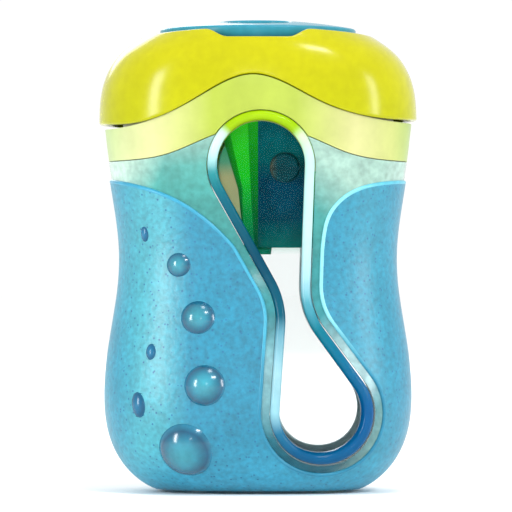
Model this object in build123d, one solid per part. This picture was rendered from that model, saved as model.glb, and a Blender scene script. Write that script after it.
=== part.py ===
"""Canister pencil sharpener: a waisted see-through shavings reservoir in a soft grip jacket, closed by
a pull-off head that carries a pale band, the sharpening block and a rotary shutter.

Millimetres. Origin at the centre of the flat foot, +Z up, front (the windowed face) towards -Y.
"""

import math
import os

from build123d import *

# ---- overall form of the reservoir -------------------------------------------------------------
BODY_PROFILE = [  # half width and height of the front silhouette, from the foot to above the rim
    (12.6, 0.0),
    (17.6, 2.9),
    (20.1, 7.2),
    (20.9, 12.4),
    (20.0, 22.0),
    (18.9, 31.0),
    (19.8, 40.0),
    (21.0, 48.5),
    (21.4, 57.0),
]
BODY_SECTIONS = 13
BODY_FLANK = 5.2  # half width less half depth, all the way up
SQUARENESS = 2.5  # superellipse exponent of every horizontal section
SECTION_POINTS = 24
REACH = 60.0  # longer than the object, for cutting prisms

# ---- layers of the reservoir, as depths below the jacket's outer face --------------------------
COLLAR_DEPTH = 0.25
JACKET_THICKNESS = 1.2
RESERVOIR_INNER = 2.6
WINDOW_DEPTH = 0.9
FRAME_PROUD = 0.15
WINDOW_INNER = 2.3
BOND_GAP = 0.02  # between bonded pieces, so that their faces never cross

# ---- foot ------------------------------------------------------------------------------------------
FOOT_HALF_WIDTH = 11.6
FOOT_HALF_DEPTH = 6.8
JACKET_CLEAR_OF_FLOOR = 0.4

# ---- looped window -----------------------------------------------------------------------------------
UPPER_LOBE = (0.4, 44.1)
UPPER_LOBE_RADIUS = 5.9
LOWER_LOBE = (8.6, 11.0)
LOWER_LOBE_RADIUS = 5.7
LEFT_WAIST = (3.9, 26.0)
RIGHT_WAIST = (5.6, 24.5)
WAIST_RADIUS = 11.0
FRAME_WIDTH = 1.35
BAND_WIDTH = 2.75  # frame and clear band together, out to the jacket

# ---- opening in the jacket around the window and under the head ----------------------------------
COLLAR_LEFT = [(-26.0, 42.9), (-17.4, 41.5), (-11.8, 39.7), (-6.4, 36.2), (-1.6, 31.0), (3.0, 24.0)]
COLLAR_RIGHT = [(26.0, 43.0), (17.4, 41.7), (12.4, 40.3), (9.8, 37.8), (8.8, 34.2), (7.4, 27.0)]

# ---- bubbles on the front of the jacket: x, z and visible radius ---------------------------------
CLEAR_BUBBLES = [(-10.6, 30.8, 1.6), (-8.0, 23.8, 2.2), (-7.1, 14.8, 2.6), (-9.7, 5.9, 3.4)]
BLUE_DROPS = [(-15.2, 34.9, 0.95), (-14.3, 19.2, 1.05), (-16.0, 12.1, 1.55)]
BUBBLE_HEIGHT = 0.45  # of its radius
DROP_HEIGHT = 0.35

# ---- head ----------------------------------------------------------------------------------------------
HEAD_PROFILE = [  # half width, half depth and height
    (21.4, 16.1, 46.0),
    (21.55, 16.25, 51.5),
    (21.15, 16.15, 54.8),
    (20.15, 15.95, 57.4),
    (18.65, 15.65, 59.4),
    (16.75, 15.2, 60.9),
    (14.95, 14.65, 62.0),
    (12.9, 13.9, 63.0),
    (11.0, 12.9, 63.7),
]
HEAD_LEVELS = 12
HEAD_WALL = 1.6
HEAD_CROWN_Z = 62.45
HEAD_CROWN_RADIUS = 156.0
WAVE = [  # lower edge of the head, seen from the front
    (-26.0, 50.4),
    (-15.5, 49.9),
    (-9.0, 52.6),
    (-0.8, 56.2),
    (8.3, 52.6),
    (15.5, 50.5),
    (26.0, 50.6),
]
BAND_EDGE = [  # lower edge of the pale band under it, where the reservoir's rim begins
    (-26.0, 45.0),
    (-17.0, 44.9),
    (-12.3, 45.6),
    (-7.0, 47.7),
    (0.4, 49.4),
    (7.4, 47.7),
    (12.3, 45.7),
    (17.0, 44.9),
    (26.0, 45.0),
]
RIM_GAP = 0.12
DECK_TOP = 60.9
DECK_BOTTOM = 59.4
SCOOP_HALF_WIDTH = 7.0
SCOOP_FLOOR_Z = 61.2
SCOOP_FLOOR_HALF_WIDTH = 4.2

# ---- inner chassis: exposed band, skirt that plugs into the reservoir, and ceiling plate ---------
BAND_WALL = 1.2
SHELF_THICKNESS = 1.2
SKIRT_CLEARANCE = 0.15
SKIRT_WALL = 1.2
SKIRT_DROP = 4.3  # below the band's edge
NOTCH_CLEARANCE = 0.1
PLATE_TOP = 57.9
PLATE_BOTTOM = 56.4
PLATE_CLEARANCE = 0.1
CHASSIS_SCREWS_AT = [(-12.0, 2.0), (12.0, 2.0), (0.0, 10.4)]
CHASSIS_BOSS_RADIUS = 2.1

# ---- sharpening block --------------------------------------------------------------------------------
PENCIL_Y = -6.8
PENCIL_RADIUS = 4.1
DECK_HOLE_RADIUS = 4.5
NECK_RADIUS = 5.0
FLANGE_RADIUS = 6.6
FLANGE_BACK_Y = -1.95
CONE_TOP_Z = 52.0
CONE_END_Z = 33.4
CONE_END_RADIUS = 0.55
SHOULDER_Z = 48.8
SLIM_Z = 41.0
SLIM_RADIUS = 2.7
BLOCK_BOTTOM_Z = 32.2
BLOCK_END_RADIUS = 1.75
PAD_LEFT = 0.9
PAD_RIGHT = 7.7
PAD_DEPTH = 3.4
BLADE_BITE = 0.25  # how far the blade's flat side lies inside the cone's tangent plane

# ---- blade and screws --------------------------------------------------------------------------------
BLADE_LENGTH = 19.4
BLADE_WIDTH = 7.3
BLADE_THICKNESS = 0.65
BLADE_BEVEL = 1.6
BLADE_HOLE_RADIUS = 1.4
BLADE_SCREW_AT = (3.6, 1.3)  # right of the blade's edge and above its middle
SCREW_FIT = 0.03
BLADE_SCREW_HEAD = (2.0, 1.0)  # radius and height of a head
BLADE_SCREW_SHANK = (1.2, 2.8)  # radius and length below the blade
CHASSIS_SCREW_HEAD = (1.85, 1.1)
CHASSIS_SCREW_SHANK = (0.95, 3.7)
PIVOT_SCREW_HEAD = (1.65, 1.15)
PIVOT_SHOULDER_RADIUS = 1.1
PIVOT_SHANK = (0.75, 2.4)
PIVOT_BOSS_RADIUS = 1.55
PIVOT_BOSS_BOTTOM = 58.05
DRIVE_SLOT = 0.45

# ---- shutter -------------------------------------------------------------------------------------------
SHUTTER_RADIUS = 13.3
SHUTTER_SIDE_CLEARANCE = 0.15
SHUTTER_BOTTOM_Z = 61.0
SHUTTER_APEX_Z = 64.0
SHUTTER_EDGE_Z = 62.75
SHUTTER_HOLE_RADIUS = 4.4
SHUTTER_SKIN = 1.2
SHUTTER_RIM_WALL = 1.3
SHUTTER_HOLE_WALL = 1.0
SHUTTER_HUB_RADIUS = 3.1
SHUTTER_HUB_TOP_Z = 62.3
SHUTTER_COUNTERBORE_RADIUS = 1.85
SHUTTER_MOUTH_ROUND = 0.2
PIVOT_CLEARANCE = 0.06


# ---- form of the body ------------------------------------------------------------------------------------
def section(half_width, half_depth, z):
    """Horizontal superellipse face at height z."""
    points = []
    for i in range(SECTION_POINTS):
        angle = 2 * math.pi * i / SECTION_POINTS
        c, s = math.cos(angle), math.sin(angle)
        x = half_width * math.copysign(abs(c) ** (2 / SQUARENESS), c)
        y = half_depth * math.copysign(abs(s) ** (2 / SQUARENESS), s)
        points.append((x, y, z))
    return make_face(Spline(*points, periodic=True))


PROFILE_CURVE = Spline(*BODY_PROFILE)


def profile_point(share, depth=0.0):
    """Half width and height a share of the way up the silhouette, moved in by depth along its normal."""
    point = PROFILE_CURVE @ share
    along = PROFILE_CURVE % share
    return point.X - depth * along.Y, point.Y + depth * along.X


def body_form(depth):
    """Solid of the reservoir's outer form, moved in by depth all over."""
    sections = []
    for i in range(BODY_SECTIONS):
        share = (i / (BODY_SECTIONS - 1)) ** 1.25
        half_width, z = profile_point(share, depth)
        if i == 0:
            z = max(depth, 0.0)
        sections.append(section(half_width, half_width - BODY_FLANK, z))
    return loft(sections)


def half_width_at(z):
    """Half width of the outer silhouette at height z."""
    low, high = 0.0, 1.0
    for _ in range(40):
        middle = (low + high) / 2
        if profile_point(middle)[1] < z:
            low = middle
        else:
            high = middle
    return profile_point(low)[0]


def front_point(x, z):
    """Point of the jacket's outer face at the front, above x and z."""
    half_width = half_width_at(z)
    half_depth = half_width - BODY_FLANK
    share = 1 - abs(x / half_width) ** SQUARENESS
    return Vector(x, -half_depth * share ** (1 / SQUARENESS), z)


def front_normal(x, z):
    """Outward normal of the jacket's outer face there."""
    step = 0.05
    across = front_point(x + step, z) - front_point(x - step, z)
    up = front_point(x, z + step) - front_point(x, z - step)
    return across.cross(up).normalized()


def layer(outer_depth, inner_depth, kept):
    """The reservoir's form between two depths, where it lies inside the solid kept."""
    return (body_form(outer_depth) & kept) - body_form(inner_depth)


def slab(low_z, high_z):
    """Everything between two heights."""
    return Pos(0, 0, (low_z + high_z) / 2) * Box(3 * REACH, 3 * REACH, high_z - low_z)


# ---- outlines seen from the front ----------------------------------------------------------------
def through(sketch):
    """Prism of a front-view sketch, running right through the object."""
    return extrude(Plane.XZ * sketch, amount=REACH, both=True)


def front_half():
    """Block that holds everything in front of the middle plane."""
    return Pos(0, -REACH / 2, 0) * Box(2 * REACH, REACH, 3 * REACH)


def tangent_point(centre, radius, corner, side):
    """Where a line from corner touches a circle; side is 1 to touch it left of the line to its centre."""
    to_centre = Vector(*centre) - Vector(*corner)
    swing = side * math.degrees(math.asin(radius / to_centre.length))
    reach = math.sqrt(to_centre.length**2 - radius**2)
    return Vector(*corner) + to_centre.normalized().rotate(Axis.Z, swing) * reach


def window_outline(grow=0.0):
    """Looped window: two round lobes joined by a waist, grown by an even amount."""
    upper_left = tangent_point(UPPER_LOBE, UPPER_LOBE_RADIUS, LEFT_WAIST, 1)
    upper_right = tangent_point(UPPER_LOBE, UPPER_LOBE_RADIUS, RIGHT_WAIST, -1)
    lower_left = tangent_point(LOWER_LOBE, LOWER_LOBE_RADIUS, LEFT_WAIST, -1)
    lower_right = tangent_point(LOWER_LOBE, LOWER_LOBE_RADIUS, RIGHT_WAIST, 1)
    top = (UPPER_LOBE[0], UPPER_LOBE[1] + UPPER_LOBE_RADIUS)
    bottom = (LOWER_LOBE[0], LOWER_LOBE[1] - LOWER_LOBE_RADIUS)
    edges = [
        ThreePointArc(upper_right, top, upper_left),
        Line(upper_left, LEFT_WAIST),
        Line(LEFT_WAIST, lower_left),
        ThreePointArc(lower_left, bottom, lower_right),
        Line(lower_right, RIGHT_WAIST),
        Line(RIGHT_WAIST, upper_right),
    ]
    face = make_face(edges)
    waists = [
        v
        for v in face.vertices()
        if min((Vector(v) - Vector(*w)).length for w in (LEFT_WAIST, RIGHT_WAIST)) < 0.01
    ]
    face = fillet(waists, WAIST_RADIUS)
    return offset(face, amount=grow) if grow else face


def collar_outline(grow=0.0):
    """What the jacket leaves bare: the band around the window and all above it."""
    top_z = REACH + 20
    left = [(x - grow, z - grow) for x, z in COLLAR_LEFT]
    right = [(x + grow, z - grow) for x, z in COLLAR_RIGHT]
    edges = [
        Spline(*left),
        Line(left[-1], right[-1]),
        Spline(*right),
        Polyline(right[0], (right[0][0], top_z), (left[0][0], top_z), left[0]),
    ]
    return make_face(edges) + window_outline(BAND_WIDTH + grow)


def below(curve, shift=0.0):
    """Front-view region under a wavy edge, moved up by shift."""
    points = [(x, z + shift) for x, z in curve]
    left, right = points[0], points[-1]
    rest = Polyline(right, (right[0], -REACH), (left[0], -REACH), left)
    return make_face([Spline(*points), rest])


# ---- bubbles -------------------------------------------------------------------------------------------
def bubble_ball(x, z, radius, height_share, grow=0.0):
    """Ball whose cap stands out of the jacket, as wide as radius where it meets the surface."""
    height = height_share * radius
    ball_radius = (radius**2 + height**2) / (2 * height)
    centre = front_point(x, z) - front_normal(x, z) * (ball_radius - height)
    return Pos(centre) * Sphere(ball_radius + grow)


def bubbles(places, height_share, grow=0.0):
    return [bubble_ball(x, z, radius, height_share, grow) for x, z, radius in places]


# ---- reservoir pieces -----------------------------------------------------------------------------------
def foot():
    """Flat pad that the object stands on."""
    return extrude(section(FOOT_HALF_WIDTH, FOOT_HALF_DEPTH, 0.0), RESERVOIR_INNER)


def reservoir_shell():
    collar = body_form(COLLAR_DEPTH) & through(collar_outline())
    shell = body_form(JACKET_THICKNESS + BOND_GAP) + collar + foot()
    shell &= through(below(BAND_EDGE, -RIM_GAP))
    shell -= through(window_outline(FRAME_WIDTH + BOND_GAP))
    return shell - body_form(RESERVOIR_INNER)


def grip_jacket():
    clear = bubbles(CLEAR_BUBBLES, BUBBLE_HEIGHT, BOND_GAP)
    blue = bubbles(BLUE_DROPS, DROP_HEIGHT, BOND_GAP)
    foot_hole = section(FOOT_HALF_WIDTH + BOND_GAP, FOOT_HALF_DEPTH + BOND_GAP, -1.0)
    jacket = body_form(0.0) & slab(JACKET_CLEAR_OF_FLOOR, REACH)
    jacket -= through(collar_outline(BOND_GAP))
    jacket -= extrude(foot_hole, RESERVOIR_INNER)
    jacket -= body_form(JACKET_THICKNESS)
    for ball in clear + blue:
        jacket -= ball
    return jacket


def window_pane(half):
    return layer(WINDOW_DEPTH, WINDOW_INNER, through(window_outline()) & half)


def window_frame(half):
    ring = window_outline(FRAME_WIDTH) - window_outline(BOND_GAP)
    return layer(-FRAME_PROUD, WINDOW_INNER, through(ring) & half)


def bubble_group(places, height_share):
    """Caps of the balls, down to the reservoir's wall under the jacket."""
    core = body_form(JACKET_THICKNESS - BOND_GAP)
    return Compound([(ball - core).solids().sort_by(Axis.Y)[0] for ball in bubbles(places, height_share)])


# ---- head pieces -----------------------------------------------------------------------------------------
def head_form(depth):
    """Solid of the head's outer form, moved in sideways by depth."""
    curve = Spline(*HEAD_PROFILE)
    sections = []
    for i in range(HEAD_LEVELS):
        half_width, half_depth, z = curve @ (i / (HEAD_LEVELS - 1))
        sections.append(section(half_width - depth, half_depth - depth, z))
    return loft(sections)


def upright(radius, low_z, high_z, x=0.0, y=0.0):
    """Vertical cylinder between two heights."""
    return Pos(x, y, (low_z + high_z) / 2) * Cylinder(radius, high_z - low_z)


def crown_cut():
    """Prism above the head's gently arched top."""
    circle = Circle(HEAD_CROWN_RADIUS)
    under = Pos(0, HEAD_CROWN_Z - HEAD_CROWN_RADIUS) * circle
    above = Pos(0, HEAD_CROWN_Z + REACH / 2 - 2) * Rectangle(REACH, REACH)
    return through(above - under)


def scoop_cut():
    """Finger scoop in the rim, with softly curved ends, that bares the shutter's edge."""
    top = HEAD_CROWN_Z + 1
    brim = HEAD_CROWN_Z - 0.12
    right_end = [(SCOOP_FLOOR_HALF_WIDTH, SCOOP_FLOOR_Z), (SCOOP_HALF_WIDTH, brim)]
    left_end = [(-x, z) for x, z in reversed(right_end)]
    edges = [
        Spline(*left_end, tangents=[(1, 0), (1, 0)]),
        Line(left_end[-1], right_end[0]),
        Spline(*right_end, tangents=[(1, 0), (1, 0)]),
        Polyline(right_end[-1], (SCOOP_HALF_WIDTH, top), (-SCOOP_HALF_WIDTH, top), left_end[0]),
    ]
    return through(make_face(edges))


def chassis_boss(x, y, radius):
    return upright(radius, PLATE_TOP, DECK_BOTTOM + 0.4, x, y)


def head_shell():
    shell = head_form(0.0) - (head_form(HEAD_WALL) & slab(0, DECK_BOTTOM))
    shell -= through(below(WAVE))
    shell -= crown_cut()
    shell -= upright(SHUTTER_RADIUS + SHUTTER_SIDE_CLEARANCE, DECK_TOP, REACH + 20)
    shell -= scoop_cut()
    shell -= upright(DECK_HOLE_RADIUS, DECK_BOTTOM - 1, DECK_TOP + 1, 0, PENCIL_Y)
    for x, y in CHASSIS_SCREWS_AT:
        shell += chassis_boss(x, y, CHASSIS_BOSS_RADIUS)
    shell += upright(PIVOT_BOSS_RADIUS, PIVOT_BOSS_BOTTOM, DECK_BOTTOM + 0.4)
    screw_radius, screw_length = CHASSIS_SCREW_SHANK
    hole_top = PLATE_BOTTOM + screw_length + 0.15
    for x, y in CHASSIS_SCREWS_AT:
        shell -= upright(screw_radius + SCREW_FIT, PLATE_TOP - 1, hole_top, x, y)
    shank_radius, shank_length = PIVOT_SHANK
    shell -= upright(shank_radius + SCREW_FIT, DECK_TOP - shank_length - 0.1, DECK_TOP + 1)
    return shell


def inner_chassis():
    skirt_outer = RESERVOIR_INNER + SKIRT_CLEARANCE
    exposed = through(below(WAVE, -RIM_GAP) - below(BAND_EDGE))
    shelf = through(below(BAND_EDGE, SHELF_THICKNESS) - below(BAND_EDGE))
    window = through(window_outline(FRAME_WIDTH + NOTCH_CLEARANCE))
    plugged = slab(0, PLATE_BOTTOM + 0.3) - through(below(BAND_EDGE, -SKIRT_DROP))
    band = layer(COLLAR_DEPTH, COLLAR_DEPTH + BAND_WALL, exposed - window)
    ledge = layer(COLLAR_DEPTH + BAND_WALL / 2, skirt_outer + SKIRT_WALL / 2, shelf - window)
    skirt = layer(skirt_outer, skirt_outer + SKIRT_WALL, plugged - through(window_outline()))
    plate = head_form(HEAD_WALL + PLATE_CLEARANCE) & slab(PLATE_BOTTOM, PLATE_TOP)
    chassis = skirt + plate + ledge + band
    chassis -= upright(NECK_RADIUS + 0.1, PLATE_BOTTOM - 1, PLATE_TOP + 1, 0, PENCIL_Y)
    for x, y in CHASSIS_SCREWS_AT:
        chassis -= upright(CHASSIS_SCREW_SHANK[0] + 0.15, PLATE_BOTTOM - 1, PLATE_TOP + 1, x, y)
    return chassis


# ---- sharpening block, blade and their plane ----------------------------------------------------
def cone_tilt():
    """Half angle of the sharpening cone, in degrees."""
    return math.degrees(math.atan2(PENCIL_RADIUS - CONE_END_RADIUS, CONE_TOP_Z - CONE_END_Z))


def blade_plane():
    """Plane of the blade's flat side: local X to the right, local Y up the cone, normal out to the front."""
    middle_z = (CONE_TOP_Z + CONE_END_Z) / 2
    middle_radius = (PENCIL_RADIUS + CONE_END_RADIUS) / 2
    tilt = math.radians(cone_tilt())
    outward = Vector(0, -math.cos(tilt), -math.sin(tilt))
    on_cone = Vector(0, PENCIL_Y - middle_radius, middle_z)
    return Plane(origin=on_cone - outward * BLADE_BITE, x_dir=(1, 0, 0), z_dir=outward)


def blade_box(left, right, length, back, front):
    """Box in the blade's plane, from back to front along its normal."""
    width, depth = right - left, front - back
    centre = Pos((left + right) / 2, 0, (back + front) / 2)
    return blade_plane() * centre * Box(width, length, depth)


def screw_place():
    """Where the blade's screw goes into its seat."""
    return blade_plane() * Pos(*BLADE_SCREW_AT, 0)


def cone_piece(low_radius, high_radius, low_z, high_z):
    """Upright cone about the pencil's axis."""
    return Pos(0, PENCIL_Y, (low_z + high_z) / 2) * Cone(low_radius, high_radius, high_z - low_z)


def sharpener_block():
    neck = upright(NECK_RADIUS, SHOULDER_Z, DECK_BOTTOM, 0, PENCIL_Y)
    flange = upright(FLANGE_RADIUS, PLATE_TOP, DECK_BOTTOM, 0, PENCIL_Y)
    flange -= Pos(0, FLANGE_BACK_Y + REACH / 2, PLATE_TOP) * Box(REACH, REACH, REACH)
    sleeve = cone_piece(SLIM_RADIUS, NECK_RADIUS, SLIM_Z, SHOULDER_Z)
    sleeve += cone_piece(BLOCK_END_RADIUS, SLIM_RADIUS, BLOCK_BOTTOM_Z, SLIM_Z)
    pad = blade_box(PAD_LEFT, PAD_RIGHT, BLADE_LENGTH - 0.6, -PAD_DEPTH, 0)
    pad = chamfer(pad.edges().filter_by(Axis.X).sort_by(Axis.Y)[-2:], 1.4)
    block = neck + flange + sleeve + pad
    block -= upright(PENCIL_RADIUS, CONE_TOP_Z, DECK_BOTTOM + 1, 0, PENCIL_Y)
    block -= cone_piece(CONE_END_RADIUS, PENCIL_RADIUS, CONE_END_Z, CONE_TOP_Z)
    block -= upright(CONE_END_RADIUS, BLOCK_BOTTOM_Z - 1, CONE_END_Z + 0.1, 0, PENCIL_Y)
    block -= blade_box(-REACH, REACH, BLADE_LENGTH + 0.4, 0, 10)
    shank_radius, shank_length = BLADE_SCREW_SHANK
    hole = Pos(0, 0, -(shank_length + 0.2) / 2) * Cylinder(
        shank_radius + SCREW_FIT, shank_length + 0.2
    )
    return block - screw_place() * hole


def blade():
    """Steel strip, ground to a bevel along its left edge."""
    profile = Polyline(
        (0, 0), (BLADE_WIDTH, 0), (BLADE_WIDTH, BLADE_THICKNESS), (BLADE_BEVEL, BLADE_THICKNESS), (0, 0)
    )
    strip = extrude(Plane.XZ * make_face(profile), amount=BLADE_LENGTH / 2, both=True)
    strip = blade_plane() * strip
    hole = Pos(0, 0, BLADE_THICKNESS / 2) * Cylinder(BLADE_HOLE_RADIUS, 3)
    return strip - screw_place() * hole


def screw(head, shank, lead=0.0):
    """Pan-head screw along local Z, its head's underside at 0; lead is a thicker shoulder's length."""
    head_radius, head_height = head
    shank_radius, shank_length = shank
    body = Pos(0, 0, head_height / 2) * Cylinder(head_radius, head_height)
    body = fillet(body.edges().group_by(Axis.Z)[-1], 0.45 * head_height)
    body += Pos(0, 0, -(shank_length + lead) / 2) * Cylinder(shank_radius, shank_length + lead)
    if lead:
        body += Pos(0, 0, -lead / 2) * Cylinder(PIVOT_SHOULDER_RADIUS, lead)
    slot = Box(2.6 * head_radius, DRIVE_SLOT, DRIVE_SLOT)
    body -= Pos(0, 0, head_height) * slot
    return body


def blade_screw():
    """Holds the blade on its seat; its shank reaches through the blade into the block."""
    radius, length = BLADE_SCREW_SHANK
    seat = Pos(0, 0, BLADE_THICKNESS)
    return screw_place() * seat * screw(BLADE_SCREW_HEAD, (radius, length + BLADE_THICKNESS))


def chassis_screws():
    upside_down = Rot(180, 0, 0)
    made = []
    for x, y in CHASSIS_SCREWS_AT:
        made.append(
            Pos(x, y, PLATE_BOTTOM) * upside_down * screw(CHASSIS_SCREW_HEAD, CHASSIS_SCREW_SHANK)
        )
    return Compound([one.solid() for one in made])


def pivot_screw():
    """Shouldered screw that the shutter turns on."""
    lead = SHUTTER_HUB_TOP_Z + 0.05 - DECK_TOP
    return Pos(0, 0, DECK_TOP + lead) * screw(PIVOT_SCREW_HEAD, PIVOT_SHANK, lead)


# ---- shutter ----------------------------------------------------------------------------------------------
def dome(radius, apex_z, bottom_z):
    """Upright cylinder under a shallow cap that follows the shutter's."""
    rise = SHUTTER_APEX_Z - SHUTTER_EDGE_Z
    ball_radius = (SHUTTER_RADIUS**2 + rise**2) / (2 * rise)
    ball = Pos(0, 0, apex_z - ball_radius) * Rot(90, 0, 0) * Sphere(ball_radius)
    return upright(radius, bottom_z, apex_z + 1) & ball


def shutter_disc():
    top = dome(SHUTTER_RADIUS, SHUTTER_APEX_Z, SHUTTER_BOTTOM_Z)
    rim = top.edges().filter_by(GeomType.CIRCLE).filter_by(lambda e: e.radius < REACH)
    top = fillet(rim.sort_by(Axis.Z)[-1], 0.35)
    hollow = dome(
        SHUTTER_RADIUS - SHUTTER_RIM_WALL, SHUTTER_APEX_Z - SHUTTER_SKIN, SHUTTER_BOTTOM_Z - 1
    )
    hollow -= upright(SHUTTER_HUB_RADIUS, SHUTTER_BOTTOM_Z - 2, REACH + 20)
    hollow -= upright(
        SHUTTER_HOLE_RADIUS + SHUTTER_HOLE_WALL, SHUTTER_BOTTOM_Z - 2, REACH + 20, 0, PENCIL_Y
    )
    disc = top - hollow
    disc -= upright(SHUTTER_HOLE_RADIUS, SHUTTER_BOTTOM_Z - 1, REACH + 20, 0, PENCIL_Y)
    disc -= upright(SHUTTER_COUNTERBORE_RADIUS, SHUTTER_HUB_TOP_Z, REACH + 20)
    disc -= upright(PIVOT_SHOULDER_RADIUS + PIVOT_CLEARANCE, SHUTTER_BOTTOM_Z - 1, REACH + 20)
    skin = disc.faces().filter_by(GeomType.SPHERE).sort_by(Axis.Z)[-1]
    mouths = [wire.edges() for wire in skin.inner_wires()]
    return fillet([edge for edges in mouths for edge in edges], SHUTTER_MOUTH_ROUND)


# ---- everything, one file a node --------------------------------------------------------------------
def nodes():
    front = front_half()
    rear = Rot(0, 0, 180) * front
    return {
        "reservoir_shell": reservoir_shell(),
        "grip_jacket": grip_jacket(),
        "front_window": window_pane(front),
        "rear_window": window_pane(rear),
        "front_window_frame": window_frame(front),
        "rear_window_frame": window_frame(rear),
        "clear_bubbles": bubble_group(CLEAR_BUBBLES, BUBBLE_HEIGHT),
        "blue_drops": bubble_group(BLUE_DROPS, DROP_HEIGHT),
        "head_shell": head_shell(),
        "inner_chassis": inner_chassis(),
        "sharpener_block": sharpener_block(),
        "blade": blade(),
        "blade_screw": blade_screw(),
        "chassis_screws": chassis_screws(),
        "pivot_screw": pivot_screw(),
        "shutter_disc": shutter_disc(),
    }


os.makedirs("parts", exist_ok=True)
for name, shape in nodes().items():
    export_step(shape, f"parts/{name}.step")
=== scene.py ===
import math

import bmesh
import bpy
import numpy as np
from mathutils import Matrix, Vector


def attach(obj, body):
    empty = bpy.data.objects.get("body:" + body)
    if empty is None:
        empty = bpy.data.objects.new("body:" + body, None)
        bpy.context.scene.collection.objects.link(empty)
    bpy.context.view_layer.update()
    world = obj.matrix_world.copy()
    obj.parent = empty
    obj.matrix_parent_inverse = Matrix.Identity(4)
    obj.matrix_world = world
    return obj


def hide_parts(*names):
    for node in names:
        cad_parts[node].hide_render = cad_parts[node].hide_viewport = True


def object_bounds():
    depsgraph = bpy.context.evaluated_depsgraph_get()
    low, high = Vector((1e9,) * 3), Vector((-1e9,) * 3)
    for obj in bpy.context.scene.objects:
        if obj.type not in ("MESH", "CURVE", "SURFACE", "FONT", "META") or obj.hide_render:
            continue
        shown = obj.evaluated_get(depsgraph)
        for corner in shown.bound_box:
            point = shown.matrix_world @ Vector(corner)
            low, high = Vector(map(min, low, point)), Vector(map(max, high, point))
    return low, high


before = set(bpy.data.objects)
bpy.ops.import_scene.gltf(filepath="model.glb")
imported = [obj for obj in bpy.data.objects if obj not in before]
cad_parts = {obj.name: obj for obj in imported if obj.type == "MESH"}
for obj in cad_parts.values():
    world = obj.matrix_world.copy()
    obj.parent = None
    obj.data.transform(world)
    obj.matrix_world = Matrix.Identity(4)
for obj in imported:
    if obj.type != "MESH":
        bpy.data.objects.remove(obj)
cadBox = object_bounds()
print("frame loaded:", sorted(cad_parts))

mm = 0.001
centre = (cadBox[0] + cadBox[1]) / 2
height = cadBox[1].z


def meshObject(name, bm):
    mesh = bpy.data.meshes.new(name)
    bm.to_mesh(mesh)
    bm.free()
    obj = bpy.data.objects.new(name, mesh)
    bpy.context.collection.objects.link(obj)
    return obj


# camera: level with the middle of the object, straight in front, long lens
camera = {"distance": 0.62, "frameWidth": 69.7 * mm, "side": -0.27 * mm, "sensor": 36.0, "near": 0.01}


def makeCamera():
    data = bpy.data.cameras.new("camera")
    data.sensor_width = camera["sensor"]
    data.lens = camera["sensor"] * camera["distance"] / camera["frameWidth"]
    data.clip_start = camera["near"]
    obj = bpy.data.objects.new("camera", data)
    obj.location = (camera["side"], -camera["distance"], height / 2)
    obj.rotation_euler = (math.radians(90), 0, 0)
    bpy.context.collection.objects.link(obj)
    bpy.context.scene.camera = obj


makeCamera()
bpy.context.scene.view_settings.view_transform = "Standard"  # plain product-shot colours


# studio: wide pale floor under a white world, strips at the sides, small boxes in front and above
studio = {
    "paper": (0.98, 0.98, 0.98), "paperRough": 0.9, "paperShine": 0.1, "floorRadius": 3.0,
    "floorSides": 96, "world": 1.03,
}
lamps = {  # place, size across, size up, watts
    "stripLeft": ((-0.65, -0.46, 0.10), 0.12, 0.50, 4.4),
    "stripRight": ((0.72, -0.28, 0.10), 0.11, 0.45, 2.4),
    "frontBox": ((-0.02, -0.85, 0.16), 0.07, 0.07, 0.25),
    "topBox": ((0.10, -0.22, 0.62), 0.14, 0.14, 0.7),
    "capBox": ((0.37, -0.58, 0.56), 0.24, 0.07, 2.6),
    "rearBox": ((-0.20, 0.70, 0.35), 0.40, 0.30, 1.2),
}


def makeFloor():
    bm = bmesh.new()
    bmesh.ops.create_circle(
        bm, cap_ends=True, segments=studio["floorSides"], radius=studio["floorRadius"]
    )
    obj = meshObject("floor", bm)
    material = bpy.data.materials.new("paper")
    material.use_nodes = True
    shader = material.node_tree.nodes["Principled BSDF"]
    shader.inputs["Base Color"].default_value = (*studio["paper"], 1)
    shader.inputs["Roughness"].default_value = studio["paperRough"]
    shader.inputs["Specular IOR Level"].default_value = studio["paperShine"]
    obj.data.materials.append(material)


def makeLamps():
    world = bpy.data.worlds.new("studioWorld")
    bpy.context.scene.world = world
    world.use_nodes = True
    background = world.node_tree.nodes["Background"]
    background.inputs["Color"].default_value = (1, 1, 1, 1)
    background.inputs["Strength"].default_value = studio["world"]
    for name, (place, across, up, watts) in lamps.items():
        data = bpy.data.lights.new(name, "AREA")
        data.shape = "RECTANGLE"
        data.size, data.size_y = across, up
        data.energy = watts
        obj = bpy.data.objects.new(name, data)
        obj.location = place
        obj.rotation_euler = (centre - Vector(place)).to_track_quat("-Z", "Y").to_euler()
        bpy.context.collection.objects.link(obj)


makeFloor()
makeLamps()
print("camera, floor and lamps ready")


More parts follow.
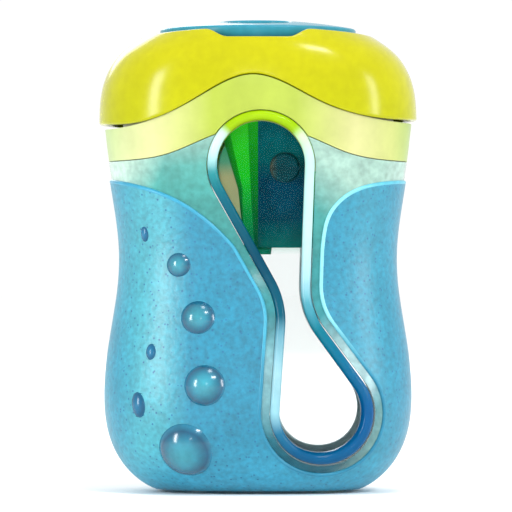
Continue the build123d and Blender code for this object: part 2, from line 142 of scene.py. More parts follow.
# materials: each plastic has a colour run along one direction, mottle, fine specks and a moulded grain
# "run": tilt in degrees from +X towards +Z, then (millimetres along it, colour) stops
# "glows": painted light, paler or darker colour round a line along Y: point of the line, distances of
# no and of full effect, colour there
# "mottle", "specks", "grain": size of the pattern, its strength; "rough": least and most
# "ball": painted light and shade on glassy beads, colours from a bead's middle (0) past its rim (1), a
# paler middle and a dark ring inside the rim; "dots": size, radius, colour
# "fade": heights and alphas between which the piece turns see-through; "lit": strength of a painted
# glow, standing in for light through see-through plastic
finishes = {
    "lime": {
        "run": (90, [(50, (0.36, 0.37, 0.0004)), (57, (0.38, 0.37, 0.0004)),
                     (62, (0.40, 0.38, 0.002))]),
        "mottle": (140, 0.05), "specks": (900, 0.04),
        "rough": (0.15, 0.22), "grain": (700, 0.05), "gloss": 0.2,
    },
    "paleLime": {
        "run": (0, [(-20.5, (0.36, 0.48, 0.20)), (-18, (0.50, 0.56, 0.27)), (-14, (0.54, 0.55, 0.25)),
                    (-6, (0.33, 0.41, 0.05)), (5, (0.33, 0.41, 0.06)), (13, (0.48, 0.48, 0.21)),
                    (18, (0.42, 0.46, 0.15)), (20.5, (0.30, 0.42, 0.10))]),
        "mottle": (180, 0.08), "specks": (700, 0.03),
        "rough": (0.25, 0.35), "grain": (600, 0.05), "gloss": 0.2,
    },
    "blockGreen": {
        # painted light and shade: bright green at the top where the cone is lit, darker towards the
        # bottom where it lies in shade, plus a painted glow
        "run": (90, [(33, (0.001, 0.16, 0.08)), (38, (0.003, 0.30, 0.03)), (43, (0.010, 0.50, 0.002)),
                     (50, (0.03, 0.58, 0.002))]),
        "mottle": (260, 0.06), "specks": (900, 0.04),
        "rough": (0.3, 0.4), "grain": (800, 0.06), "gloss": 0.04,
        "lit": 0.14,
    },
    "teal": {
        "run": (90, [(5, (0.004, 0.11, 0.16)), (9, (0.02, 0.19, 0.25)), (18, (0.045, 0.28, 0.34)),
                     (34, (0.04, 0.28, 0.27)), (41, (0.065, 0.34, 0.31)), (46, (0.11, 0.38, 0.34))]),
        "glows": [  # painted light in the clear teal, paler patches: (x, y, z) of a line along Y, two distances from it, colour at the second one
            ((-8.0, 0.0, 20.0), 24.0, 30.0, (0.35, 0.55, 0.47)),
            ((14.0, 0.0, 19.0), 7.5, 2.5, (0.36, 0.56, 0.58)),
            ((1.0, 0.0, 16.0), 8.5, 3.0, (0.17, 0.38, 0.42)),
            ((-20.5, 0.0, 45.5), 8.0, 3.0, (0.50, 0.72, 0.61)),
        ],
        "mottle": (320, 0.16), "specks": (1100, 0.14),
        "rough": (0.12, 0.22), "grain": (900, 0.05),
        "gloss": 0.4, "alpha": 0.72,
    },
    "gripBlue": {
        # painted highlight: the run is paler in bands near -14 mm and +15 mm, where the side strip
        # lamps shine on the curved grip, and the bottom is painted paler too
        "run": (0, [(-19, (0.009, 0.215, 0.32)), (-15.8, (0.038, 0.29, 0.36)),
                    (-12.8, (0.038, 0.29, 0.36)), (-9, (0.006, 0.182, 0.29)), (0, (0.004, 0.17, 0.275)),
                    (10, (0.006, 0.185, 0.29)), (15, (0.010, 0.21, 0.31)), (20, (0.006, 0.19, 0.30))]),
        "glows": [((0.0, 0.0, -60.0), 68.0, 62.0, (0.02, 0.27, 0.41))],
        "dots": (1150, 0.19, (0.004, 0.12, 0.24)),
        "mottle": (260, 0.08), "specks": (1500, 0.18),
        "rough": (0.36, 0.44), "grain": (1500, 0.5), "gloss": 0.6,
    },
    "lipBlue": {
        # painted highlight: the lip is painted pale on the right, where its rounded edge would catch
        # the light, and back to the grip's blue near the lower right
        "run": (0, [(-8, (0.02, 0.27, 0.42)), (4, (0.035, 0.32, 0.45)), (9, (0.22, 0.60, 0.66)),
                    (17, (0.07, 0.40, 0.52))]),
        "glows": [((8.5, 0.0, 9.0), 15.0, 9.5, (0.008, 0.19, 0.31))],
        "mottle": (260, 0.08), "specks": (1300, 0.08),
        "rough": (0.30, 0.40), "grain": (1200, 0.2), "gloss": 0.5,
    },
    "window": {
        "run": (90, [(10, (0.08, 0.22, 0.25)), (45, (0.001, 0.12, 0.14))]),
        "mottle": (80, 0.05), "specks": (500, 0.02),
        "rough": (0.04, 0.09), "grain": (400, 0.02),
        "gloss": 0.3, "alpha": 0.035,
    },
    "rearWindow": {
        "run": (90, [(32, (0.10, 0.50, 0.36)), (36, (0.14, 0.36, 0.20)), (39, (0.34, 0.38, 0.17)),
                     (43, (0.33, 0.33, 0.14)), (45, (0.06, 0.28, 0.15)), (48, (0.008, 0.28, 0.06))]),
        "fade": (32.2, 36.2, 0.05, 0.96),
        "mottle": (200, 0.10), "specks": (700, 0.03),
        "rough": (0.35, 0.45), "grain": (400, 0.02), "gloss": 0.3,
        "clear": 0.9,
    },
    "frameClear": {
        "painted": True,
        "mottle": (160, 0.08), "specks": (900, 0.03),
        "rough": (0.10, 0.16), "grain": (500, 0.03), "gloss": 0.15,
    },
    "bubble": {
        "ball": [(0.0, (0.03, 0.27, 0.34)), (0.5, (0.015, 0.18, 0.25)), (0.75, (0.004, 0.11, 0.18)),
                 (0.93, (0.0005, 0.065, 0.13)), (1.05, (0.003, 0.13, 0.22)),
                 (1.3, (0.006, 0.17, 0.28))],
        "mottle": (420, 0.22), "specks": (900, 0.05),
        "rough": (0.14, 0.19), "grain": (400, 0.02),
        "gloss": 0.5, "coat": 0.2,
    },
    "drop": {
        "ball": [(0.0, (0.006, 0.15, 0.28)), (0.6, (0.002, 0.10, 0.21)), (0.9, (0.001, 0.07, 0.15)),
                 (1.1, (0.003, 0.11, 0.20))],
        "mottle": (300, 0.15), "specks": (900, 0.05),
        "rough": (0.18, 0.24), "grain": (500, 0.02),
        "gloss": 0.35, "coat": 0.1,
    },
    "shutterBlue": {
        # painted shade: darker along the disc's lower front edge by the scoop
        "run": (90, [(61.3, (0.010, 0.12, 0.17)), (62.0, (0.022, 0.19, 0.26)),
                     (62.8, (0.035, 0.24, 0.33)), (64, (0.045, 0.27, 0.37))]),
        "mottle": (200, 0.10), "specks": (900, 0.05),
        "rough": (0.2, 0.3), "grain": (700, 0.05), "gloss": 0.12,
    },
    "blade": {
        # painted shade: the steel blade is painted dark teal as it lies in shade behind the window,
        # darkest in the middle
        "run": (90, [(33, (0.001, 0.16, 0.13)), (37, (0.0006, 0.050, 0.085)),
                     (42, (0.0006, 0.035, 0.075)), (45, (0.0006, 0.085, 0.09)),
                     (52, (0.001, 0.10, 0.14))]),
        "mottle": (500, 0.20), "specks": (1500, 0.08),
        "rough": (0.35, 0.5), "grain": (1600, 0.08),
        "gloss": 0.03, "metal": 0.1,
    },
    "steel": {
        "run": (90, [(0, (0.42, 0.43, 0.44)), (64, (0.52, 0.53, 0.54))]),
        "mottle": (500, 0.2), "specks": (1500, 0.12),
        "rough": (0.25, 0.4), "grain": (1600, 0.08),
        "gloss": 0.5, "metal": 1.0,
    },
    "bladeScrew": {
        # painted shade: the screw is painted near-black like the shaded blade, browner at its left end
        "run": (0, [(1.6, (0.06, 0.055, 0.03)), (2.6, (0.003, 0.040, 0.05)),
                    (5.6, (0.001, 0.036, 0.05))]),
        "mottle": (500, 0.2), "specks": (1500, 0.12),
        "rough": (0.4, 0.5), "grain": (1600, 0.08),
        "gloss": 0.05, "metal": 0.1,
    },
}


pattern = {  # shared by all the finishes
    "mottleDetail": 5, "speckDetail": 2, "grainDetail": 3, "low": 0.3, "high": 0.7,
    "grainDepth": 0.1 * mm, "coatRough": 0.2, "dotCore": 0.7,
}


class Finish:  # small helper that adds and joins one material's nodes
    def __init__(self, name):
        self.material = bpy.data.materials.new(name)
        self.material.use_nodes = True
        self.nodes = self.material.node_tree.nodes
        self.shader = self.nodes["Principled BSDF"]
        self.place = self.nodes.new("ShaderNodeTexCoord").outputs["Object"]

    def join(self, source, target):
        self.material.node_tree.links.new(source, target)

    def noise(self, size, detail):
        node = self.nodes.new("ShaderNodeTexNoise")
        node.inputs["Scale"].default_value = size
        node.inputs["Detail"].default_value = detail
        self.join(self.place, node.inputs["Vector"])
        return node.outputs["Fac"]

    def remap(self, value, fromMin, fromMax, toMin=0.0, toMax=1.0):
        node = self.nodes.new("ShaderNodeMapRange")
        ends = {"From Min": fromMin, "From Max": fromMax, "To Min": toMin, "To Max": toMax}
        for name, number in ends.items():
            node.inputs[name].default_value = number
        self.join(value, node.inputs["Value"])
        return node.outputs["Result"]

    def along(self, tilt):  # distance in millimetres along a direction in the XZ plane
        turned = self.nodes.new("ShaderNodeMapping")
        turned.inputs["Rotation"].default_value = (0, math.radians(tilt), 0)
        turned.inputs["Scale"].default_value = (1000, 1000, 1000)
        self.join(self.place, turned.inputs["Vector"])
        split = self.nodes.new("ShaderNodeSeparateXYZ")
        self.join(turned.outputs["Vector"], split.inputs["Vector"])
        return split.outputs["X"]

    def ramp(self, value, stops):
        first, last = stops[0][0], stops[-1][0]
        node = self.nodes.new("ShaderNodeValToRGB")
        elements = node.color_ramp.elements
        while len(elements) < len(stops):
            elements.new(0.5)
        for element, (stop, colour) in zip(elements, stops):
            element.position = (stop - first) / (last - first)
            element.color = (*colour, 1)
        self.join(self.remap(value, first, last), node.inputs["Fac"])
        return node.outputs["Color"]

    def blend(self, share, under, colour):
        node = self.nodes.new("ShaderNodeMix")
        node.data_type = "RGBA"
        node.inputs[7].default_value = (*colour, 1)
        self.join(share, node.inputs[0])
        self.join(under, node.inputs[6])
        return node.outputs[2]

    def shade(self, colour, value):
        node = self.nodes.new("ShaderNodeVectorMath")
        node.operation = "SCALE"
        self.join(colour, node.inputs[0])
        self.join(value, node.inputs["Scale"])
        return node.outputs["Vector"]


def makePlastic(name, look):
    finish = Finish(name)
    sockets = finish.shader.inputs
    sockets["Metallic"].default_value = look.get("metal", 0.0)
    sockets["Specular IOR Level"].default_value = look["gloss"]
    sockets["Coat Weight"].default_value = look.get("coat", 0.0)
    sockets["Coat Roughness"].default_value = pattern["coatRough"]
    sockets["Alpha"].default_value = look.get("alpha", 1.0)
    sockets["Transmission Weight"].default_value = look.get("clear", 0.0)
    if "painted" in look:  # colour kept on the piece's points: the window beads' painted reflections
        tint = finish.nodes.new("ShaderNodeAttribute")
        tint.attribute_name = "tint"
        colour = tint.outputs["Color"]
    elif "ball" in look:  # painted light and shade: colour rings from a bead's middle to its rim, kept on its points
        rim = finish.nodes.new("ShaderNodeAttribute")
        rim.attribute_name = "rim"
        colour = finish.ramp(rim.outputs["Fac"], look["ball"])
    else:
        colour = finish.ramp(finish.along(look["run"][0]), look["run"][1])
    # painted light: paler or darker colour round a line along Y
    for spot, near, far, paintedTint in look.get("glows", []):
        flat = finish.nodes.new("ShaderNodeMapping")
        flat.inputs["Scale"].default_value = (1000, 0, 1000)
        finish.join(finish.place, flat.inputs["Vector"])
        away = finish.nodes.new("ShaderNodeVectorMath")
        away.operation = "DISTANCE"
        finish.join(flat.outputs["Vector"], away.inputs[0])
        away.inputs[1].default_value = spot
        colour = finish.blend(finish.remap(away.outputs["Value"], near, far), colour, paintedTint)
    if "fade" in look:
        finish.join(finish.remap(finish.along(90), *look["fade"]), sockets["Alpha"])
    if "dots" in look:  # sparse round dots of another tint
        size, radius, tint = look["dots"]
        cells = finish.nodes.new("ShaderNodeTexVoronoi")
        cells.inputs["Scale"].default_value = size
        finish.join(finish.place, cells.inputs["Vector"])
        inside = finish.remap(cells.outputs["Distance"], radius, radius * pattern["dotCore"])
        colour = finish.blend(inside, colour, tint)
    mottle = finish.noise(look["mottle"][0], pattern["mottleDetail"])
    specks = finish.noise(look["specks"][0], pattern["speckDetail"])
    for spots, strength in ((mottle, look["mottle"][1]), (specks, look["specks"][1])):
        share = finish.remap(spots, pattern["low"], pattern["high"], 1 - strength, 1 + strength)
        colour = finish.shade(colour, share)
    finish.join(colour, sockets["Base Color"])
    if "lit" in look:  # painted glow, standing in for light through see-through plastic
        finish.join(colour, sockets["Emission Color"])
        sockets["Emission Strength"].default_value = look["lit"]
    finish.join(finish.remap(mottle, 0, 1, *look["rough"]), sockets["Roughness"])
    bump = finish.nodes.new("ShaderNodeBump")
    bump.inputs["Strength"].default_value = look["grain"][1]
    bump.inputs["Distance"].default_value = pattern["grainDepth"]
    finish.join(finish.noise(look["grain"][0], pattern["grainDetail"]), bump.inputs["Height"])
    finish.join(bump.outputs["Normal"], sockets["Normal"])
    return finish.material


materials = {name: makePlastic(name, look) for name, look in finishes.items()}
print("finishes ready:", sorted(materials))


# the body's and the head's form: superellipse sections along a smooth side profile, in millimetres
form = {  # body: half width, height; head: half width, half depth, height
    "squareness": 2.5, "flank": 5.2, "slopeStep": 0.05, "turnSamples": 2881,
    "body": [(12.6, 0.0), (17.6, 2.9), (20.1, 7.2), (20.9, 12.4), (20.0, 22.0), (18.9, 31.0),
             (19.8, 40.0), (21.0, 48.5), (21.4, 57.0)],
    "head": [(21.4, 16.1, 46.0), (21.55, 16.25, 51.5), (21.15, 16.15, 54.8), (20.15, 15.95, 57.4),
             (18.65, 15.65, 59.4), (16.75, 15.2, 60.9), (14.95, 14.65, 62.0), (12.9, 13.9, 63.0),
             (11.0, 12.9, 63.7)],
}


def smoothCurve(points, count=400):
    points = np.array(points, dtype=float)
    steps = np.linalg.norm(np.diff(points, axis=0), axis=1)
    knots = np.concatenate([[0.0], np.cumsum(steps)])
    size = len(points)
    system, right = np.eye(size), np.zeros_like(points)
    for i in range(1, size - 1):
        before, after = steps[i - 1], steps[i]
        system[i, i - 1 : i + 2] = before, 2 * (before + after), after
        right[i] = 6 * ((points[i + 1] - points[i]) / after - (points[i] - points[i - 1]) / before)
    bend = np.linalg.solve(system, right)
    where = np.linspace(0, knots[-1], count)
    span = np.clip(np.searchsorted(knots, where, side="right") - 1, 0, size - 2)
    length = steps[span][:, None]
    ahead = ((knots[span + 1] - where) / steps[span])[:, None]
    done = 1 - ahead
    return (
        ahead * points[span] + done * points[span + 1]
        + ((ahead**3 - ahead) * bend[span] + (done**3 - done) * bend[span + 1]) * length**2 / 6
    )


bodyCurve = smoothCurve(form["body"])
headCurve = smoothCurve(form["head"])


def bodyHalfWidth(z):
    return float(np.interp(z, bodyCurve[:, 1], bodyCurve[:, 0]))


def roundEnd(value):
    return math.copysign(abs(value) ** (2 / form["squareness"]), value)


def evenAngles(count):  # angles that space the columns evenly round the superellipse
    turn = np.linspace(0, math.tau, form["turnSamples"])
    halfWidth, halfDepth = form["head"][0][:2]
    x = halfWidth * np.array([roundEnd(math.cos(a)) for a in turn])
    y = halfDepth * np.array([roundEnd(math.sin(a)) for a in turn])
    walked = np.concatenate([[0], np.cumsum(np.hypot(np.diff(x), np.diff(y)))])
    return np.interp(np.linspace(0, walked[-1], count, endpoint=False), walked, turn)


def onBody(x, z, rise):  # point above the front face of the body, rise along its normal
    def skin(px, pz):
        halfWidth = bodyHalfWidth(pz)
        share = max(0.0, 1 - abs(px / halfWidth) ** form["squareness"])
        return Vector((px, -(halfWidth - form["flank"]) * share ** (1 / form["squareness"]), pz))

    step = form["slopeStep"]
    across = skin(x + step, z) - skin(x - step, z)
    up = skin(x, z + step) - skin(x, z - step)
    return skin(x, z) + across.cross(up).normalized() * rise


def wrapped(name, columns, tints=None):  # closed skin through columns of points, both ways round
    bm = bmesh.new()
    count, length = len(columns), len(columns[0])
    bmesh.ops.create_grid(bm, x_segments=count, y_segments=length, size=1)
    tint = bm.verts.layers.float_color.new("tint") if tints else None
    for vert in bm.verts:
        column = round((vert.co.x + 1) / 2 * count) % count
        row = round((vert.co.y + 1) / 2 * length) % length
        vert.co = Vector(columns[column][row]) * mm
        if tints:
            vert[tint] = (*tints[column], 1)
    bmesh.ops.remove_doubles(bm, verts=bm.verts, dist=1e-7)
    bmesh.ops.recalc_face_normals(bm, faces=bm.faces)
    for face in bm.faces:
        face.smooth = True
    return meshObject(name, bm)


def softened(corners, steps=4):  # polyline with each (point, radius) corner rounded off
    path = []
    for i, (corner, radius) in enumerate(corners):
        if not radius:
            path.append(corner)
            continue
        before, after = corners[i - 1][0], corners[(i + 1) % len(corners)][0]
        back, ahead = before - corner, after - corner
        start = corner + back.normalized() * min(radius, back.length * 0.49)  # rounds never meet
        end = corner + ahead.normalized() * min(radius, ahead.length * 0.49)
        for k in range(steps + 1):
            t = k / steps
            path.append(start * (1 - t) ** 2 + corner * 2 * t * (1 - t) + end * t**2)
    return path


# head cap: domed lime shell with a wavy hem, a recess for the disc, finger scoops and a deck
headCap = {
    "columns": 208, "wall": 1.6, "recess": 13.45, "deckTop": 60.9, "deckUnder": 59.4,
    "crown": 62.45, "crownRadius": 156.0, "scoopHalf": 7.0, "scoopFlat": 4.2, "scoopFloor": 61.2,
    "hole": 4.5, "holeY": -6.8, "skinInset": 0.02, "skinRows": 56, "liningRows": 18,
    "hemRound": 0.5, "brimRound": 0.4, "recessRound": 0.18, "deckRound": 0.15, "holeRound": 0.3,
    "wave": [(-26.0, 50.4), (-15.5, 49.9), (-9.0, 52.6), (-0.8, 56.2), (8.3, 52.6), (15.5, 50.5),
             (26.0, 50.6)],
}
waveCurve = smoothCurve(headCap["wave"])


def hemHeight(x):
    return float(np.interp(x, waveCurve[:, 0], waveCurve[:, 1]))


def brimHeight(x):
    crown = headCap["crown"] - x * x / (2 * headCap["crownRadius"])
    flat, half = headCap["scoopFlat"], headCap["scoopHalf"]
    share = min(1.0, max(0.0, (abs(x) - flat) / (half - flat)))
    share = share * share * (3 - 2 * share)
    return headCap["scoopFloor"] + (crown - headCap["scoopFloor"]) * share


def headColumn(angle):
    c, s = roundEnd(math.cos(angle)), roundEnd(math.sin(angle))
    wall = headCap["wall"]

    def skin(index, inset=0.0):
        halfWidth, halfDepth, z = (
            float(np.interp(index, range(len(headCurve)), headCurve[:, i])) for i in range(3)
        )
        inset += headCap["skinInset"]
        return Vector(((halfWidth - inset) * c, (halfDepth - inset) * s, z))

    def firstIndex(passed):  # first place along the profile that passes, by halving
        low, high = 0.0, len(headCurve) - 1.0
        for _ in range(30):
            middle = (low + high) / 2
            if passed(middle):
                high = middle
            else:
                low = middle
        return high

    def aboveHem(inset):
        return firstIndex(lambda i: skin(i, inset).z > hemHeight(skin(i, inset).x))

    bottom, innerBottom = aboveHem(0.0), aboveHem(wall)
    innerTop = firstIndex(lambda i: skin(i).z > headCap["deckUnder"])
    top = firstIndex(
        lambda i: skin(i).z > brimHeight(skin(i).x) or skin(i).xy.length < headCap["recess"]
    )
    perIndex = (skin(bottom + 1) - skin(bottom)).length
    hemStep, brimStep = headCap["hemRound"] / perIndex, headCap["brimRound"] / perIndex
    brim = skin(top)
    out = brim.xy.normalized()
    edge = Vector((*(out * headCap["recess"]), min(brim.z, brimHeight(out.x * headCap["recess"]))))
    hole = Vector((0, headCap["holeY"], 0))
    mouth = hole + Vector((*(out * headCap["hole"]), 0))
    outside = np.linspace(bottom + hemStep, top - brimStep, headCap["skinRows"])
    lining = np.linspace(innerTop, innerBottom + hemStep, headCap["liningRows"])
    corners = [(skin(i), 0) for i in outside]
    corners.append((brim, headCap["brimRound"]))
    corners.append((edge, headCap["recessRound"]))
    corners.append((Vector((edge.x, edge.y, headCap["deckTop"])), headCap["deckRound"]))
    corners.append((mouth + Vector((0, 0, headCap["deckTop"])), headCap["holeRound"]))
    corners.append((mouth + Vector((0, 0, headCap["deckUnder"])), headCap["deckRound"]))
    corners += [(skin(i, wall), 0) for i in lining]
    corners.append((skin(innerBottom, wall), headCap["hemRound"]))
    corners.append((skin(bottom), headCap["hemRound"]))
    return softened(corners)


columns = [headColumn(angle) for angle in evenAngles(headCap["columns"])]
cap = wrapped("head_cap", columns)
cap.data.materials.append(materials["lime"])
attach(cap, "head")
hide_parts("head_shell")
print("head cap ready:", len(cap.data.polygons), "faces")


# window frames: glossy bead that loops round the figure-of-eight window, its colours painted
# reflections
loop = {
    "upper": ((0.4, 44.1), 5.9), "lower": ((8.6, 11.0), 5.7), "leftWaist": (3.9, 26.0),
    "rightWaist": (5.6, 24.5), "waistRadius": 11.0, "frameWidth": 1.35, "roundSteps": 90,
    "waistSteps": 24, "beadRise": -0.50, "beadHalf": 0.66, "rootDeeper": 2.2, "around": 20,
    "along": 260,
    "frontTints": [  # painted reflections: pale where the bead would reflect light, navy where it would show dark, lime on the top arc; share of the way round from the upper left, clockwise
        (0.0, (0.004, 0.13, 0.17)), (0.022, (0.02, 0.22, 0.24)), (0.042, (0.38, 0.64, 0.64)),
        (0.058, (0.48, 0.68, 0.66)),
        (0.072, (0.45, 0.66, 0.54)), (0.079, (0.25, 0.42, 0.001)), (0.123, (0.27, 0.45, 0.001)),
        (0.168, (0.25, 0.44, 0.001)), (0.178, (0.50, 0.72, 0.40)), (0.21, (0.40, 0.65, 0.58)),
        (0.30, (0.40, 0.65, 0.65)), (0.345, (0.32, 0.56, 0.62)), (0.38, (0.06, 0.27, 0.34)),
        (0.415, (0.003, 0.14, 0.20)), (0.48, (0.001, 0.10, 0.21)), (0.53, (0.001, 0.075, 0.22)),
        (0.60, (0.001, 0.075, 0.19)), (0.66, (0.001, 0.075, 0.18)), (0.69, (0.01, 0.12, 0.22)),
        (0.715, (0.22, 0.45, 0.52)), (0.76, (0.25, 0.46, 0.52)), (0.81, (0.10, 0.28, 0.36)),
        (0.83, (0.001, 0.075, 0.12)), (0.90, (0.0005, 0.05, 0.095)), (0.95, (0.001, 0.07, 0.11)),
        (0.985, (0.002, 0.10, 0.15)), (1.0, (0.004, 0.13, 0.17)),
    ],
    # painted light: the rear bead is painted pale so that it reads as light grey through the window
    "rearTints": [(0.0, (0.50, 0.72, 0.75)), (0.5, (0.66, 0.78, 0.84)), (1.0, (0.50, 0.72, 0.75))],
}


def tangentPoint(ball, corner, side):  # where a line from the corner touches the round
    middle, radius = Vector(ball[0]), ball[1]
    away = middle - Vector(corner)
    swing = side * math.asin(radius / away.length)
    reach = math.sqrt(away.length_squared - radius**2)
    away.normalize()
    c, s = math.cos(swing), math.sin(swing)
    return Vector(corner) + Vector((away.x * c - away.y * s, away.x * s + away.y * c)) * reach


def waistArc(corner, above, under):  # centre and ends of the round that eases a waist corner
    corner = Vector(corner)
    up, down = (above - corner).normalized(), (under - corner).normalized()
    middle = (up + down).normalized()
    half = middle.angle(up)
    reach = loop["waistRadius"] / math.tan(half)
    arcCentre = corner + middle * (loop["waistRadius"] / math.sin(half))
    return arcCentre, corner + up * reach, corner + down * reach


def loopOutline(grow, count):  # evenly spaced points of the window outline, clockwise from the top
    upper, lower = loop["upper"], loop["lower"]
    ends = {
        "leftUp": tangentPoint(upper, loop["leftWaist"], 1),
        "leftDown": tangentPoint(lower, loop["leftWaist"], -1),
        "rightUp": tangentPoint(upper, loop["rightWaist"], -1),
        "rightDown": tangentPoint(lower, loop["rightWaist"], 1),
    }
    leftArc = waistArc(loop["leftWaist"], ends["leftUp"], ends["leftDown"])
    rightArc = waistArc(loop["rightWaist"], ends["rightUp"], ends["rightDown"])

    def sweep(middle, start, end, outwards, steps):
        middle = Vector(middle)
        first, last = start - middle, end - middle
        a, b = math.atan2(first.y, first.x), math.atan2(last.y, last.x)
        if outwards and b > a:
            b -= math.tau
        if not outwards:
            a, b = (a, a + ((b - a + math.pi) % math.tau) - math.pi)
        radius = first.length + (grow if outwards else -grow)
        turns = [a + (b - a) * k / steps for k in range(steps + 1)]
        return [middle + Vector((math.cos(t), math.sin(t))) * radius for t in turns]

    points = sweep(upper[0], ends["leftUp"], ends["rightUp"], True, loop["roundSteps"])
    points += sweep(rightArc[0], rightArc[1], rightArc[2], False, loop["waistSteps"])
    points += sweep(lower[0], ends["rightDown"], ends["leftDown"], True, loop["roundSteps"])
    points += sweep(leftArc[0], leftArc[2], leftArc[1], False, loop["waistSteps"])
    ring = np.array([tuple(p) for p in points + points[:1]])
    walked = np.concatenate([[0], np.cumsum(np.linalg.norm(np.diff(ring, axis=0), axis=1))])
    where = np.linspace(0, walked[-1], count, endpoint=False)
    return np.stack([np.interp(where, walked, ring[:, axis]) for axis in range(2)], axis=1)


def makeBead(name, side, stops):
    around, along = loop["around"], loop["along"]
    shares = [share for share, _ in stops]
    tints = [
        [float(np.interp(i / along, shares, [colour[k] for _, colour in stops])) for k in range(3)]
        for i in range(along)
    ]
    middle = loopOutline(loop["frameWidth"] / 2, along)
    columns = []
    for i in range(along):
        ahead = Vector(middle[(i + 1) % along]) - Vector(middle[i - 1])
        outwards = Vector((-ahead.y, ahead.x)).normalized()
        column = []
        for k in range(around):
            turn = math.tau * k / around
            spot = Vector(middle[i]) + outwards * loop["beadHalf"] * math.cos(turn)
            deeper = 1.0 if k < around / 2 else loop["rootDeeper"]  # lower half reaches into its groove
            rise = loop["beadRise"] + loop["beadHalf"] * (math.sin(turn) * deeper)
            point = onBody(spot.x, spot.y, rise)
            column.append(Vector((point.x, point.y * side, point.z)))
        columns.append(column)
    return wrapped(name, columns, tints)


for name, side, stops in (
    ("front_window_frame", 1, loop["frontTints"]), ("rear_window_frame", -1, loop["rearTints"]),
):
    bead = makeBead(name.replace("frame", "bead"), side, stops)
    bead.data.materials.append(materials["frameClear"])
    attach(bead, "reservoir")
    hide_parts(name)
print("window beads ready")


# beads of the jacket: glassy round bubbles and small dark oval drops, sunk in it
beads = {
    "clear_bubbles": {  # x, z, half width, half height, lean in degrees
        "places": [(-10.6, 30.8, 1.6, 1.6, 0), (-8.0, 23.8, 2.2, 2.2, 0),
                   (-7.1, 14.8, 2.6, 2.6, 0), (-9.7, 5.9, 3.4, 3.4, 0)],
        "bulge": 0.447, "depth": 1.1, "finish": "bubble", "slot": "bubble_plastic",
    },
    "blue_drops": {
        "places": [(-15.2, 34.9, 0.64, 1.04, 2), (-14.3, 19.2, 0.74, 1.04, 4),
                   (-16.0, 12.1, 1.06, 1.62, 8)],
        "bulge": 0.40, "depth": 0.5, "finish": "drop", "slot": "drop_plastic",
    },
}


def standing(x, z):  # turns +Z into the body's outward normal at that place of its front
    outwards = onBody(x, z, 1.0) - onBody(x, z, 0.0)
    upwards = Vector((0, 0, 1)) - outwards * outwards.z
    upwards.normalize()
    return Matrix((upwards.cross(outwards), upwards, outwards)).transposed().to_4x4()


ballRows = {"u_segments": 56, "v_segments": 72}


def addTo(whole, bm):  # joins one part into a piece made of several
    single = bpy.data.meshes.new("single")
    bm.to_mesh(single)
    bm.free()
    whole.from_mesh(single)
    bpy.data.meshes.remove(single)


def makeBeads(node, kind):
    whole = bmesh.new()
    whole.verts.layers.float.new("rim")
    bulge = kind["bulge"]  # ball whose cap is this high for a rim of radius 1
    ball = (1 + bulge**2) / (2 * bulge)
    for x, z, halfWidth, halfHeight, lean in kind["places"]:
        bm = bmesh.new()
        bmesh.ops.create_uvsphere(bm, radius=ball, **ballRows)
        bmesh.ops.translate(bm, vec=(0, 0, bulge - ball), verts=bm.verts)
        floor = -kind["depth"] / halfWidth
        cut = bmesh.ops.bisect_plane(
            bm, geom=bm.verts[:] + bm.edges[:] + bm.faces[:], plane_co=(0, 0, floor),
            plane_no=(0, 0, 1), clear_inner=True,
        )
        cutEdges = [part for part in cut["geom_cut"] if isinstance(part, bmesh.types.BMEdge)]
        bmesh.ops.edgeloop_fill(bm, edges=cutEdges)
        bmesh.ops.recalc_face_normals(bm, faces=bm.faces)
        rim = bm.verts.layers.float.new("rim")
        for vert in bm.verts:
            vert[rim] = vert.co.xy.length
        bmesh.ops.scale(bm, vec=Vector((halfWidth, halfHeight, halfWidth)) * mm, verts=bm.verts)
        bmesh.ops.rotate(bm, matrix=Matrix.Rotation(math.radians(lean), 3, "Z"), verts=bm.verts)
        bmesh.ops.transform(bm, matrix=standing(x, z), verts=bm.verts)
        bmesh.ops.translate(bm, vec=onBody(x, z, 0) * mm, verts=bm.verts)
        for face in bm.faces:
            face.smooth = len(face.verts) < 5  # all but the flat underside
        addTo(whole, bm)
    piece = meshObject(node + "_glossy", whole)
    piece.data.materials.append(materials[kind["finish"]])
    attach(piece, "reservoir")
    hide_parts(node)


for node, kind in beads.items():
    makeBeads(node, kind)
print("bubbles and drops ready")


# pieces that keep their CAD shape: joined up and smooth-shaded
keptShapes = {  # node: finish, body, slot
    "reservoir_shell": ("teal", "reservoir", "teal_clear_plastic"),
    "front_window": ("window", "reservoir", "clear_window_plastic"),
    "rear_window": ("rearWindow", "reservoir", "clear_window_plastic"),
    "inner_chassis": ("paleLime", "head", "pale_lime_plastic"),
    "sharpener_block": ("blockGreen", "head", "block_plastic"),
    "blade": ("blade", "head", "blade_steel"),
    "blade_screw": ("bladeScrew", "head", "screw_steel"),
    "chassis_screws": ("steel", "head", "screw_steel"),
    "pivot_screw": ("steel", "head", "screw_steel"),
    "shutter_disc": ("shutterBlue", "shutter", "shutter_plastic"),
}
sharpAngle = math.radians(32)
joinDistance = 0.002 * mm


def joinedCopy(node):
    bm = bmesh.new()
    bm.from_mesh(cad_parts[node].data)
    bmesh.ops.remove_doubles(bm, verts=bm.verts, dist=joinDistance)
    return bm


def finishedCopy(name, bm):
    for face in bm.faces:
        face.smooth = True
    for edge in bm.edges:
        edge.smooth = len(edge.link_faces) == 2 and edge.calc_face_angle(0) < sharpAngle
    return meshObject(name, bm)


for node, (finish, body, slotName) in keptShapes.items():
    piece = finishedCopy(node + "_smooth", joinedCopy(node))
    piece.data.materials.append(materials[finish])
    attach(piece, body)
    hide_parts(node)
print("kept shapes smoothed")


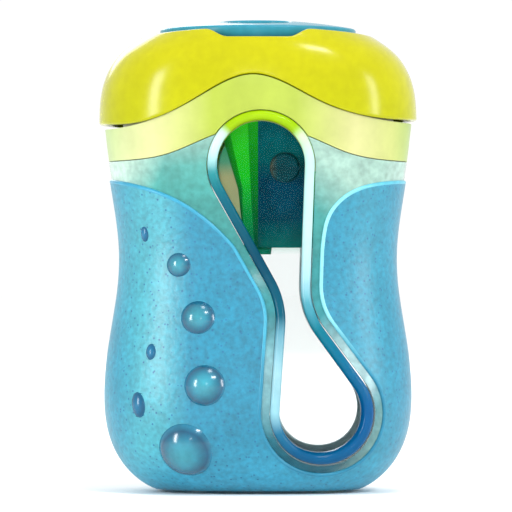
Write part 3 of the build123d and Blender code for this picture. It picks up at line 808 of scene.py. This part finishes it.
# grip jacket: soft rubber with filled drop pockets and a rolled lip along its free edges
jacket = {
    "pockets": (0.95, 1.05, 1.55), "fillSunk": 0.012, "fillDepth": 0.9, "lipRadius": 0.30,
    "lipSunk": 0.26, "lipStep": 0.5, "lipSides": 4, "lipCorner": 50, "lipSkin": 0.985, "lipAbove": 2,
    "lipLeast": 30,
}
fillRows = {"u_segments": 48, "v_segments": 24}


def bodyShare(point):  # 1 on the body's surface, less inside
    halfWidth = bodyHalfWidth(point.z)
    halfDepth = halfWidth - form["flank"]
    squareness = form["squareness"]
    return abs(point.x / halfWidth) ** squareness + abs(point.y / halfDepth) ** squareness


def bodyNormal(point):
    step = form["slopeStep"]
    slopes = []
    for axis in (Vector((step, 0, 0)), Vector((0, step, 0)), Vector((0, 0, step))):
        slopes.append(bodyShare(point + axis) - bodyShare(point - axis))
    return Vector(slopes).normalized()


def fillPockets(whole):
    for place, pocket in zip(beads["blue_drops"]["places"], jacket["pockets"]):
        x, z = place[:2]
        bm = bmesh.new()
        bmesh.ops.create_uvsphere(bm, radius=pocket, **fillRows)
        for vert in bm.verts:  # upper half lies on the body's skin, lower half bulges inwards
            sunk = jacket["fillSunk"] + max(0.0, -vert.co.z / pocket) * jacket["fillDepth"]
            vert.co = onBody(x + vert.co.x, z + vert.co.y, -sunk) * mm
        bmesh.ops.recalc_face_normals(bm, faces=bm.faces)
        addTo(whole, bm)


def lipPaths(bm):  # long closed chains of sharp edges on the jacket's outer skin
    sharp = {}
    for edge in bm.edges:
        ends = [vert.co / mm for vert in edge.verts]
        if len(edge.link_faces) != 2 or edge.calc_face_angle(0) < math.radians(jacket["lipCorner"]):
            continue
        if min(bodyShare(end) for end in ends) < jacket["lipSkin"]:
            continue
        if min(end.z for end in ends) < jacket["lipAbove"]:
            continue
        for vert in edge.verts:
            sharp.setdefault(vert, []).append(edge)
    paths, used = [], set()
    for start in sorted(sharp, key=lambda vert: vert.index):
        path, vert = [], start
        while vert is not None:
            path.append(vert.co / mm)
            ahead = [edge for edge in sharp.get(vert, []) if edge not in used]
            if not ahead:
                break
            used.add(ahead[0])
            vert = ahead[0].other_vert(vert)
        length = sum((b - a).length for a, b in zip(path, path[1:]))
        if length > jacket["lipLeast"]:
            paths.append((path, length))
    return paths


def makeLip(paths):
    data = bpy.data.curves.new("jacket_lip", "CURVE")
    data.dimensions = "3D"
    data.bevel_depth = jacket["lipRadius"] * mm
    data.bevel_resolution = jacket["lipSides"]
    for path, length in paths:
        ring = np.array([tuple(point) for point in path])
        walked = np.concatenate([[0], np.cumsum(np.linalg.norm(np.diff(ring, axis=0), axis=1))])
        count = round(length / jacket["lipStep"])
        where = np.linspace(0, walked[-1], count, endpoint=False)
        spline = data.splines.new("POLY")
        spline.points.add(count - 1)
        for point, at in zip(spline.points, where):
            spot = Vector([float(np.interp(at, walked, ring[:, axis])) for axis in range(3)])
            spot -= bodyNormal(spot) * jacket["lipSunk"]
            point.co = (*(spot * mm), 1)
        spline.use_cyclic_u = True
    curve = bpy.data.objects.new("jacket_lip", data)
    bpy.context.collection.objects.link(curve)
    finished = curve.evaluated_get(bpy.context.evaluated_depsgraph_get())
    mesh = bpy.data.meshes.new_from_object(finished)
    bpy.data.objects.remove(curve)
    for face in mesh.polygons:
        face.use_smooth = True
    lip = bpy.data.objects.new("jacket_lip", mesh)
    bpy.context.collection.objects.link(lip)
    return lip


sharpJacket = joinedCopy("grip_jacket")
lip = makeLip(lipPaths(sharpJacket))
lip.data.materials.append(materials["lipBlue"])
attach(lip, "reservoir")
fillPockets(sharpJacket)
grip = finishedCopy("grip_jacket_filled", sharpJacket)
grip.data.materials.append(materials["gripBlue"])
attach(grip, "reservoir")
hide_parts("grip_jacket")
print("jacket ready:", len(grip.data.polygons), "faces, lip", len(lip.data.polygons))
